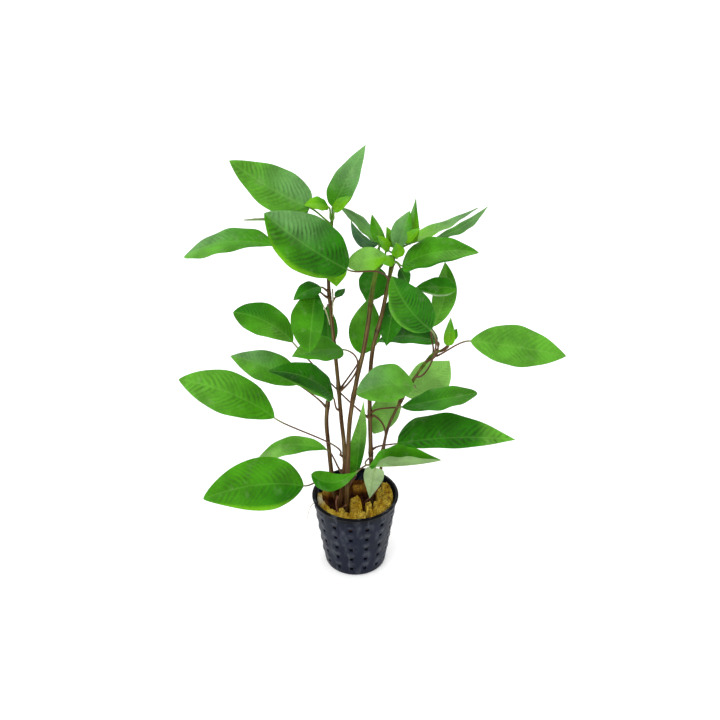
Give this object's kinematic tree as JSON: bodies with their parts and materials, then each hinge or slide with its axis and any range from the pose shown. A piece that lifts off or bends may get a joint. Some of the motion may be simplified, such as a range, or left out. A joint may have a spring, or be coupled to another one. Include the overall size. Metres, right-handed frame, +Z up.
{
  "type": "potted hygrophila",
  "caption": "Leafy pond plant with upright stems and broad quilted leaves, rooted in mineral wool in a small black net pot.",
  "frame": {"origin": "middle of the underside of the pot's base", "axes": "+Z up along the plant, +X to the right and -Y to the front, as pictured"},
  "size_m": [0.2272, 0.0846, 0.2812],
  "materials": {
    "pot": "satin black",
    "wool": "rough ochre fibres",
    "stem": "smooth purple-brown skin",
    "leaf": "soft sheen green"
  },
  "bodies": {
    "root": {"leaf_arched_stalk": "leaf", "leaf_back_curled": "leaf", "leaf_back_tall": "leaf", "leaf_behind_quilted": "leaf", "leaf_behind_right": "leaf", "leaf_behind_stems": "leaf", "leaf_between_stems": "leaf", "leaf_big_quilted": "leaf", "leaf_crown_grey": "leaf", "leaf_crown_left": "leaf", "leaf_crown_middle_blue": "leaf", "leaf_crown_middle_left": "leaf", "leaf_crown_middle_pale": "leaf", "leaf_crown_middle_spear": "leaf", "leaf_crown_right_back": "leaf", "leaf_crown_right_big": "leaf", "leaf_crown_right_narrow": "leaf", "leaf_crown_spear": "leaf", "leaf_crown_upright": "leaf", "leaf_crown_young": "leaf", "leaf_dark_behind": "leaf", "leaf_dark_left": "leaf", "leaf_dark_quilted": "leaf", "leaf_edge_on": "leaf", "leaf_far_left_lower": "leaf", "leaf_far_left_upper": "leaf", "leaf_far_right": "leaf", "leaf_folded_right": "leaf", "leaf_hanging": "leaf", "leaf_hanging_back": "leaf", "leaf_left_lower": "leaf", "leaf_left_middle": "leaf", "leaf_low_left_back": "leaf", "leaf_low_left_big": "leaf", "leaf_over_rim": "leaf", "leaf_pale_hanging": "leaf", "leaf_pale_lower": "leaf", "leaf_pale_middle": "leaf", "leaf_pale_right": "leaf", "leaf_right_big": "leaf", "leaf_right_lower": "leaf", "leaf_round_behind": "leaf", "leaf_small_bud": "leaf", "leaf_small_dark": "leaf", "leaf_small_drooping": "leaf", "leaf_tip_bright": "leaf", "leaf_tip_side": "leaf", "mineral_wool": "wool", "net_pot": "pot", "stem_left_cut": "stem", "stem_left_tall": "stem", "stem_middle": "stem", "stem_right_tall": "stem", "stem_right_thin": "stem"}
  },
  "joints": []
}
